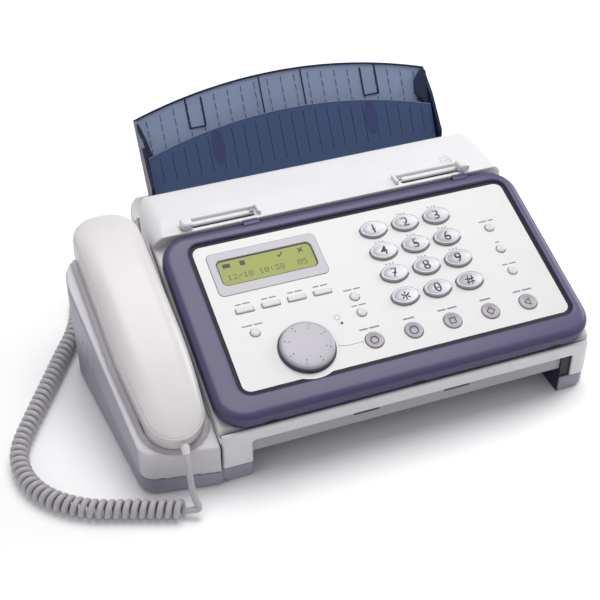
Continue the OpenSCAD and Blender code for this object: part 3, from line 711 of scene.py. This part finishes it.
def make_display():
    (x0, x1), (y0, y1) = panel_box("lcd_module")[:2]
    cx, cy = (x0 + x1) / 2, (y0 + y1) / 2
    body, slot = "control_panel", "lcd_glass"
    outer = rounded_rect(x1 - x0, y1 - y0, 3.8, 8, (cx, cy))
    window = rounded_rect(68.4, 21.4, 4, 8, (cx, cy + 0.6))
    rings = [on_plane(PANEL, outer, -5), on_plane(PANEL, outer, 0.1), on_plane(PANEL, inset(outer, 0.3), 0.4),
             on_plane(PANEL, inset(window, -0.3), 0.4), on_plane(PANEL, window, 0.1),
             on_plane(PANEL, inset(window, 0.1), -1.6)]
    plate = loft("lcd_surround", rings, SURROUND, body, cap_end=False)
    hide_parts("lcd_module")
    edge = [on_plane(PANEL, inset(window, -0.15), -1.5), on_plane(PANEL, inset(window, -0.15), -0.5),
            on_plane(PANEL, inset(window, 0.9), -0.55), on_plane(PANEL, inset(window, 0.9), -1.5)]
    loft("lcd_edge", edge, INK, body, cap_start=False, cap_end=False)
    face = [on_plane(PANEL, inset(window, 0.8), -1.5), on_plane(PANEL, inset(window, 0.8), -0.6)]
    loft("lcd_face", face, DISPLAY, body)
    height, thick, left, row = -0.6, 0.03, cx - 29, cy - 3.4
    dots = dot_text("12/18 10:38", left, row, 0.62) + dot_text("05", left + 50, row, 0.62)
    flat_patch("lcd_text", dots, height, thick, INK, body)
    icons = [box_outline(left + 1.6, cy + 6.4, 5.4, 3.4), box_outline(left + 13, cy + 6.2, 3.6, 3.8)]
    tick, cross = left + 38, left + 53
    icons.append(stroke((tick, cy + 6), (tick + 1.3, cy + 4.6), 0.9))
    icons.append(stroke((tick + 1, cy + 4.6), (tick + 4, cy + 8), 0.9))
    icons.append(stroke((cross, cy + 4.6), (cross + 3.4, cy + 8), 0.9))
    icons.append(stroke((cross, cy + 8), (cross + 3.4, cy + 4.6), 0.9))
    flat_patch("lcd_icons", icons, height, thick, INK, body)


make_display()


# ---------- printed marks ----------

PRINT_Z, PRINT_T = 0.01, 0.03


def words(x, y, widths, tall):
    """Outlines of a row of plain bars as wide as short words, centred on x."""
    outlines = []
    gap = 1.2
    start = x - (sum(widths) + gap * (len(widths) - 1)) / 2
    for width in widths:
        outlines.append(box_outline(start + width / 2, y, width, tall))
        start += width + gap
    return outlines


def make_marks():
    """Plain dashes where a machine has its printed labels, a line from the dial to the first round key, and a
    lamp with a ring mark. Plain dashes where a machine has its printed labels, and generic pictures on the
    round keys.
    """
    body, slot = "control_panel", "white_panel_plastic"
    dashes = []
    for i in range(1, 5):
        x, y, _ = top_of("bar_key_%d" % i)
        dashes += words(x, y + 5.2, (4, 5), 1.0)
    for node, widths in {"function_key": (7, 6), "recorder_key_1": (6, 5), "recorder_key_2": (4, 5),
                         "side_key_1": (6, 4), "side_key_2": (3,), "side_key_3": (4, 5)}.items():
        x, y, _ = top_of(node)
        dashes += words(x, y + 6.2, widths, 1.0)
    for i in range(1, 6):
        x, y, _ = top_of("round_key_%d" % i)
        dashes += words(x, y + 9.8, (6, 7) if i in (1, 3, 5) else (8,), 1.2)
    for node in list(NUMBER_KEYS.values())[1:9]:
        x, y, _ = top_of(node)
        dashes += words(x, y + 9.0, (1.4, 1.4, 1.4), 0.8)
    for i in range(3):
        dashes += words(-101 + i * 26, 49.4, (6,), 0.8)
    flat_patch("printed_marks", dashes, PRINT_Z, PRINT_T, MARK, body)
    x, y, _ = top_of("jog_dial")
    first = top_of("round_key_1")
    corners = [(x + 20.5, y - 4), (x + 26, y - 5.4), (x + 33, y - 5.6), (first[0] - 7.4, first[1] + 1)]
    line = [stroke(a, b, 0.35) for a, b in zip(corners, corners[1:])]
    flat_patch("dial_line", line, PRINT_Z, PRINT_T, MARK, body)
    lamp = [on_plane(PANEL, circle(0.9, 20, (x + 29, y + 12)), h) for h in (0, 0.35)]
    loft("message_lamp", lamp, INK, body)
    ring = [(2.0, 0.01), (2.0, 0.04), (1.7, 0.04), (1.7, 0.01)]
    ring_rings = [on_plane(PANEL, circle(r, 24, (x + 27.5, y + 17)), h) for r, h in ring]
    loft("lamp_mark", ring_rings, MARK, body, cap_start=False, cap_end=False)


def make_round_key_icons():
    """A ring with 6, 24, 4, 4 or 3 sides on each round key; some are turned by an angle."""
    size = 3.3
    for i, sides, turn in ((1, 6, 0), (2, 24, 0), (3, 4, 45), (4, 4, 0), (5, 3, 180)):
        node = "round_key_%d" % i
        x, y, top = top_of(node)
        angles = [math.radians(turn + 360 * k / sides) for k in range(sides)]
        outline = [(x + size * math.cos(a), y + size * math.sin(a)) for a in angles]
        inner = [(x + (px - x) * 0.74, y + (py - y) * 0.74) for px, py in outline]
        h = top - 0.6
        rings = [on_plane(PANEL, outline, h), on_plane(PANEL, outline, h + 0.06),
                 on_plane(PANEL, inner, h + 0.02), on_plane(PANEL, inner, h - 0.04)]
        loft("icon_" + node, rings, INK, node, cap_start=False, cap_end=False)


make_marks()
make_round_key_icons()


# ---------- trims of the case and the document guides ----------

BOX_FACES = [(3, 2, 1, 0), (4, 5, 6, 7), (0, 1, 5, 4), (1, 2, 6, 5), (2, 3, 7, 6), (3, 0, 4, 7)]


def box_corners(x0, x1, y0, y1, z0, z1):
    """The eight corners that BOX_FACES joins, the lower four first."""
    return [(x, y, z) for z in (z0, z1) for x, y in ((x0, y0), (x1, y0), (x1, y1), (x0, y1))]


def box_piece(name, corners, mat, body):
    """One piece of square bars, from the corners of one bar after the other."""
    faces = [tuple(base + k for k in face) for base in range(0, len(corners), 8) for face in BOX_FACES]
    new_piece(name, corners, faces, mat, body, smooth=False)


def blocks(name, boxes, mat, body):
    """Thin trims along the machine's own axes. Each is (x0, x1, y0, y1, z0, z1) in millimetres."""
    corners = [Vector(p) * MM for box in boxes for p in box_corners(*box)]
    box_piece(name, corners, mat, body)


def pillow(name, x, y, w, d, z0, z1, edge, mat, body):
    """A rounded moulding with an upright side and a rounded upper edge."""
    outline = rounded_rect(w, d, min(w, d) * 0.45, 8, (x, y))
    rings = [[Vector((px * MM, py * MM, z0 * MM)) for px, py in outline]]
    for a in range(0, 91, 15):
        t = math.radians(a)
        rings.append([Vector((px * MM, py * MM, (z1 - edge * (1 - math.sin(t))) * MM))
                      for px, py in inset(outline, edge * (1 - math.cos(t)))])
    loft(name, rings, mat, body)


def make_guides():
    """Rounded tabs on the document guides, and a raised lip with a stop beside each slot."""
    cover, plastic = "top_cover", "white_case_plastic"
    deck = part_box(cover)[1].z / MM
    for side, node in ((1, "guide_left"), (-1, "guide_right")):
        low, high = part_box(node)
        x, y = (low.x + high.x) / 2 / MM, (low.y + high.y) / 2 / MM
        pillow("tab_" + node, x, y, 8, 9.6, deck + 0.15, deck + 4.9, 1.8, WHITE, node)
        lip_x = x + side * 27
        pillow("lip_" + node, lip_x, y + 6.8, 50, 3.4, deck - 0.5, deck + 1.7, 1.4, WHITE, cover)
        stop_x = x + side * 52.5
        pillow("stop_" + node, stop_x, y + 2.2, 2.6, 10, deck - 0.5, deck + 2.2, 1.0, WHITE, cover)
        # A grey patch in the deck near each stop: painted shade in a notch.
        gap_x = x + side * 48.3
        gap = (gap_x - 1.4, gap_x + 1.4, y + 1.6, y + 4.8, deck - 0.5, deck + 0.12)
        blocks("notch_shade_" + node, [gap], TRIM, cover)


def make_case_trims():
    """Latch slots in the grey trim, dark linings of the right leg, soles and the deck's page symbol. The
    slots and the linings are painted shade.
    """
    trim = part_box("front_frame")[0].y / MM
    # The slots are black patches on the trim: painted shade in the slots.
    slots = [(x0, x1, trim - 0.2, trim + 0.3, 27.7, 29.0) for x0, x1 in ((-10.8, 6.9), (53.8, 72.4))]
    blocks("latch_slot_painted_shade", slots, BLACK, "base")
    # Dark navy sheets inside the right leg: painted shade in the opening.
    leg_in, case_in, front = 142, 149.8, -124.6
    blocks("leg_shade_lining", [(leg_in - 0.25, leg_in, front, -62, 0.2, 31.2),
                          (leg_in, case_in, trim - 0.3, -62, 13, 31.2)], LEG_SHADE_NAVY, "base")
    soles = [(x0, x1, -123.5, -108, 0.1, 1.6) for x0, x1 in ((leg_in, 158), (-98, -82))]
    blocks("leg_soles", soles, TRIM, "base")
    deck, x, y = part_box("top_cover")[1].z / MM, 126.6, 36.2
    page = [(x - 4, x + 4, y - 6, y - 5.5), (x - 4, x + 4, y + 5.5, y + 6),
            (x - 4, x - 3.5, y - 5.5, y + 5.5), (x + 3.5, x + 4, y - 5.5, y + 5.5)]
    page += [(x - 2.4, x + 2.4, y + k, y + k + 0.5) for k in (-3, 0, 3)]
    blocks("page_symbol", [(*edges, deck - 0.3, deck + 0.22) for edges in page], WHITE, "top_cover")


def make_joint_line():
    """A near-black sheet in the gap between the cradle and the white case, along the cradle's sloping rim:
    painted shade in the gap.
    """
    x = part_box("cradle_housing")[1].x
    rim = [v.co for v in frame["nodes"]["cradle_housing"].data.vertices if abs(v.co.x - x) < 0.0001]
    front, rear = min(p.y for p in rim), max(p.y for p in rim)
    low, proud = 0.016, 0.0002
    front_top, rear_top = [max(p.z for p in rim if abs(p.y - y) < 0.0005) + proud for y in (front, rear)]
    corners = [Vector((side, y, z)) for side in (x - 0.00005, x + 0.00035)
               for y, z in ((front, low), (rear, low), (rear, rear_top), (front, front_top))]
    box_piece("joint_painted_shade", corners, PAINTED_SHADE_BLACK, "base")


make_guides()
make_case_trims()
make_joint_line()


# ---------- paper support ----------

def support_axes():
    """The paper support's axes: x across, y up its slope, z out to the front; origin at its crown."""
    node = frame["nodes"]["paper_support"]
    big = max(node.data.polygons, key=lambda face: face.area if face.normal.y > 0.3 else 0)
    front = -big.normal.copy()
    back = big.normal
    up = Vector((1, 0, 0)).cross(back).normalized()
    if up.z < 0:
        up = -up
    low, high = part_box("paper_support")
    top = spread_along("paper_support", up)[1]
    depth = spread_along("paper_support", back)[1]
    origin = up * top + back * depth
    origin.x = (low.x + high.x) / 2
    return plane_matrix(origin, Vector((1, 0, 0)), up, front)


SUPPORT = support_axes()
SUPPORT_T = 1.8


def on_support(verts):
    return [SUPPORT @ Vector((x * MM, y * MM, z * MM)) for x, y, z in verts]


def bars(name, boxes, mat, body="base"):
    """Square bars on the paper support. Each is (x0, x1, y0, y1, z0, z1), with y 0 at the crown."""
    corners = on_support([p for box in boxes for p in box_corners(*box)])
    box_piece(name, corners, mat, body)


def arch(x, width, rise):
    """How far a point of an arched top edge lies below its crown."""
    r = (width * width / 4 + rise * rise) / (2 * rise)
    return r - math.sqrt(r * r - x * x)


def arched_strip(name, width, rise, crown, depth, z0, z1, mat, body):
    """A thin strip along an arched top edge, depth mm high, between two heights in front of the plate."""
    steps = 40
    verts, faces = [], []
    for k in range(steps):
        xa, xb = -width / 2 + width * k / steps, -width / 2 + width * (k + 1) / steps
        ya, yb = crown - arch(xa, width, rise), crown - arch(xb, width, rise)
        base = len(verts)
        verts += on_support([(x, y, z) for z in (z0, z1)
                             for x, y in ((xa, ya - depth), (xb, yb - depth), (xb, yb), (xa, ya))])
        for face in ((3, 2, 1, 0), (4, 5, 6, 7), (0, 1, 5, 4), (2, 3, 7, 6)):
            faces.append(tuple(base + i for i in face))
    new_piece(name, verts, faces, mat, body, smooth=False)


def paint_support():
    """The side walls are dark, lavender on the outer left; the plate between them is smoked blue."""
    node = frame["nodes"]["paper_support"]
    low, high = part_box("paper_support")
    node.data.materials.clear()
    for mat in (SMOKED, SMOKED_DARK, LAVENDER):
        node.data.materials.append(mat)
    for face in node.data.polygons:
        at_side = min(face.center.x - low.x, high.x - face.center.x) < 0.0025
        face.material_index = 1 if at_side else 0
        if face.normal.x < -0.5 and face.center.x - low.x < 0.004:
            face.material_index = 2


def make_support_details():
    """On the plate: a dark rim, rows of raised dashes, two folds, two slots and an arm at each side."""
    width, rise = 230, 17
    front = SUPPORT_T
    arched_strip("support_rim", width, rise, 0, 1.6, front, front + 1, SMOKED_DARK, "base")
    ribs = []
    dash, step, foot = 5, 7, -70
    for k in range(-10, 11):
        x = k * 10.6
        y = -arch(x, width, rise) - 5
        while y > foot:
            ribs.append((x - 0.25, x + 0.25, y - dash, y, front, front + 0.35))
            y -= step
    bars("support_ribs", ribs, SMOKED_DEEP)
    strong = [(x - 0.45, x + 0.45, -74, -arch(x, width, rise) - 1.5, front, front + 0.8) for x in (-17, 16)]
    bars("support_folds", strong, SMOKED_DARK)
    outlines = []
    for side in (-1, 1):
        inner, outer = side * 63, side * 75
        outlines += [(inner - 0.6, inner + 0.6, -30, -9), (min(inner, outer), max(inner, outer), -31, -29.8),
                     (outer - 0.6, outer + 0.6, -31, -8)]
    bars("support_slots", [(*edges, front, front + 0.6) for edges in outlines], SMOKED_DARK)
    arms = {"left": [(-113.5, -20), (-113.5, -74), (-108, -74), (-106, -62), (-107, -48), (-109, -36),
                     (-112, -24)],
            "right": [(111, -19), (105, -26), (104, -36), (109, -45), (107.5, -58), (108.5, -74),
                      (113.5, -74), (113.5, -20)]}
    for side, outline in arms.items():
        rings = [on_support([(x, y, z) for x, y in outline]) for z in (front, front + 7)]
        loft("support_arm_" + side, rings, SMOKED_DARK, "base")


def make_cover_details():
    """Ribs, a lighter strip along the upper edge as a painted highlight, and two dark catches on the inner
    paper cover.
    """
    points = [SUPPORT.inverted() @ v.co for v in frame["nodes"]["paper_cover"].data.vertices]
    crown = max(p.y for p in points) / MM
    front = max(p.z for p in points) / MM
    width, rise, body = 223.6, 17, "paper_cover"
    ribs = [(x - 0.25, x + 0.25, -65, crown - arch(x, width, rise) - 4, front, front + 0.08)
            for x in (9.4 * k for k in range(-11, 12))]
    bars("cover_ribs", ribs, SMOKED_DARK, body)
    # A lighter strip along the arched edge: painted highlight.
    arched_strip("cover_edge_painted_highlight", width, rise, crown, 0.5, front, front + 0.3, SMOKED, body)
    for i, x in enumerate((-59, 62)):
        top = crown - arch(x, width, rise) - 0.8
        turns = [math.tau * k / 32 for k in range(32)]
        lens = [(x + 5 * math.sin(a), top - 13 - 13 * math.cos(a)) for a in turns]
        rings = [on_support([(px, py, z) for px, py in lens]) for z in (front, front + 0.12)]
        loft("cover_catch_%d" % (i + 1), rings, SMOKED_PURPLE, body)


paint_support()
make_support_details()
make_cover_details()


# ---------- handset ----------

HANDSET_L, HANDSET_W = 181, 46
HANDSET_UP = Vector(JOINTS["handset_lift"]["axis"]).normalized()


def handset_axes():
    """The handset's axes: x across, y towards the ear end, z off the cradle; origin at its cord end."""
    flat = math.hypot(HANDSET_UP.x, HANDSET_UP.y)
    along = Vector((-HANDSET_UP.x / flat * HANDSET_UP.z, -HANDSET_UP.y / flat * HANDSET_UP.z, flat))
    side = along.cross(HANDSET_UP)
    shell = "handset_upper_shell"
    low_side, high_side = spread_along(shell, side)
    start = spread_along(shell, along)[0]
    bottom = spread_along(shell, HANDSET_UP)[0]
    origin = side * (low_side + high_side) / 2 + along * start + HANDSET_UP * bottom
    return plane_matrix(origin, side, along, HANDSET_UP)


def handset_outline():
    """Seen from above, from the cord end at 0 to the ear end, counter-clockwise."""
    front_r, rear_r, half = 19.5, 20, HANDSET_W / 2
    right = [(front_r * math.sin(math.radians(a)), front_r * (1 - math.cos(math.radians(a))))
             for a in range(0, 88, 8)]
    for k in range(1, 13):
        t = k / 12
        ease = 1 - (1 - t) ** 2
        right.append((front_r + (half - front_r) * ease, front_r + t * 55))
    right += [(half, 74.5 + (HANDSET_L - rear_r - 74.5) * t) for t in (0.25, 0.5, 0.75, 1)]
    turns = [math.radians(a) for a in range(10, 91, 10)]
    right += [(half - rear_r + rear_r * math.cos(a), HANDSET_L - rear_r + rear_r * math.sin(a))
              for a in turns]
    left = [(-x, y) for x, y in reversed(right[1:])]
    return right + left


def back_height(y):
    """Height of the handset's arched back over its parting line, in millimetres."""
    arc, peak = 360, HANDSET_L * 0.52
    return math.sqrt(arc * arc - (y - peak) ** 2) - arc + 14.5


def make_handset():
    axes = handset_axes()
    outline = handset_outline()
    n = len(outline)
    body = "handset"
    depth, line = 16, 0.34
    profile = [(0, 0.02), (0, 0.12), (0.1, line - 0.06), (0.2, line - 0.02), (0.55, line),
               (0.95, line + 0.01), (1.0, line + 0.03)]
    for u in (0.01, 0.03, 0.07, 0.13, 0.2, 0.3, 0.42, 0.56, 0.7, 0.85, 1):
        share = (1 - (1 - u) ** 2.3) ** (1 / 2.3)
        profile.append((1.05 + u * (depth - 1.05), line + 0.04 + (0.96 - line) * share))
    rings = []
    for d, share in profile:
        rings.append([axes @ Vector((x * MM, y * MM, (0.3 + (back_height(y) - 0.3) * share) * MM))
                      for x, y in inset(outline, d)])
    verts = [p for ring in rings for p in ring]
    faces = ring_faces(len(rings), n)
    last = (len(rings) - 1) * n
    half = n // 2
    for k in range(half):
        quad = (last + k, last + k + 1, last + (n - k - 1) % n, last + (n - k) % n)
        faces.append(tuple(dict.fromkeys(quad)))
    base = len(verts)
    verts += [axes @ Vector((x * MM, y * MM, 0)) for x, y in inset(outline, 0.6)]
    faces += [(base + k, base + (k + 1) % n, (k + 1) % n, k) for k in range(n)]
    faces.append(tuple(base + k for k in reversed(range(n))))
    shell = new_piece("handset_back", verts, faces, HANDSET, body, angle=60)
    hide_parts("handset_upper_shell")
    level = shell.modifiers.new("smooth", "SUBSURF")
    level.levels = level.render_levels = 1


make_handset()


# ---------- stage ----------

def add_area_light(name, location, aim, size, power):
    data = bpy.data.lights.new(name, "AREA")
    data.shape = "DISK"
    data.size = size
    data.energy = power
    light = bpy.data.objects.new(name, data)
    light.location = location
    light.rotation_euler = (Vector(aim) - Vector(location)).to_track_quat("-Z", "Y").to_euler()
    bpy.context.scene.collection.objects.link(light)


def add_stage():
    bpy.ops.mesh.primitive_plane_add(size=12, location=(0, 0, -0.0002))
    floor = bpy.context.object
    floor.name = "floor"
    paint(floor, material("floor", (0.98, 0.98, 0.98), rough=0.6, tint=0.005, grain=0.0001, grain_size=0.004))
    world = bpy.data.worlds.new("studio")
    bpy.context.scene.world = world
    world.use_nodes = True
    world.node_tree.nodes["Background"].inputs["Color"].default_value = (0.97, 0.97, 1, 1)
    world.node_tree.nodes["Background"].inputs["Strength"].default_value = 0.43
    add_area_light("key", (0.2, 0.32, 1.6), (0, 0, 0), 1.3, 19)
    add_area_light("fill", (-1.2, -0.6, 1.0), (0, 0, 0), 0.8, 1.5)
    add_area_light("rim", (1.1, 0.2, 0.55), (0.1, 0, 0.05), 0.7, 6)


add_stage()


# ---------- plain CAD pieces ----------

CAD_LOOKS = {
    "lower_case": GREY, "rubber_feet": RUBBER, "main_case": WHITE, "cradle_housing": PALE_GREY_SHADED_SIDE,
    "front_frame": TRIM, "main_board": BOARD, "rear_sockets": BLACK,
    "loudspeaker": BLACK, "print_head": STEEL, "drive_motor": STEEL, "case_screws": STEEL,
    "cover_hinge_pins": STEEL, "platen_roller": RUBBER, "ribbon_supply_spool": BLACK,
    "ribbon_takeup_spool": BLACK, "paper_cover": SMOKED_DEEP, "hook_switch": BLACK,
    "handset_lower_shell": HANDSET, "handset_capsules": BLACK, "handset_plug": CLEAR, "top_cover": WHITE,
    "document_roller": RUBBER, "guide_left": WHITE, "guide_right": WHITE, "panel_plate": PLATE,
    "panel_board": BOARD,
}
for node, look in CAD_LOOKS.items():
    paint(frame["nodes"][node], look)


def soften(node, voxel, rounds):
    """Rounds the edges of a moulded CAD part a little, as its mould does."""
    obj = frame["nodes"][node]
    remesh = obj.modifiers.new("remesh", "REMESH")
    remesh.mode = "VOXEL"
    remesh.voxel_size = voxel
    remesh.use_smooth_shade = True
    smooth = obj.modifiers.new("smooth", "SMOOTH")
    smooth.factor = 0.5
    smooth.iterations = rounds


soften("cradle_housing", 0.0009, 8)
soften("main_case", 0.001, 4)
soften("top_cover", 0.001, 6)
soften("lower_case", 0.001, 4)
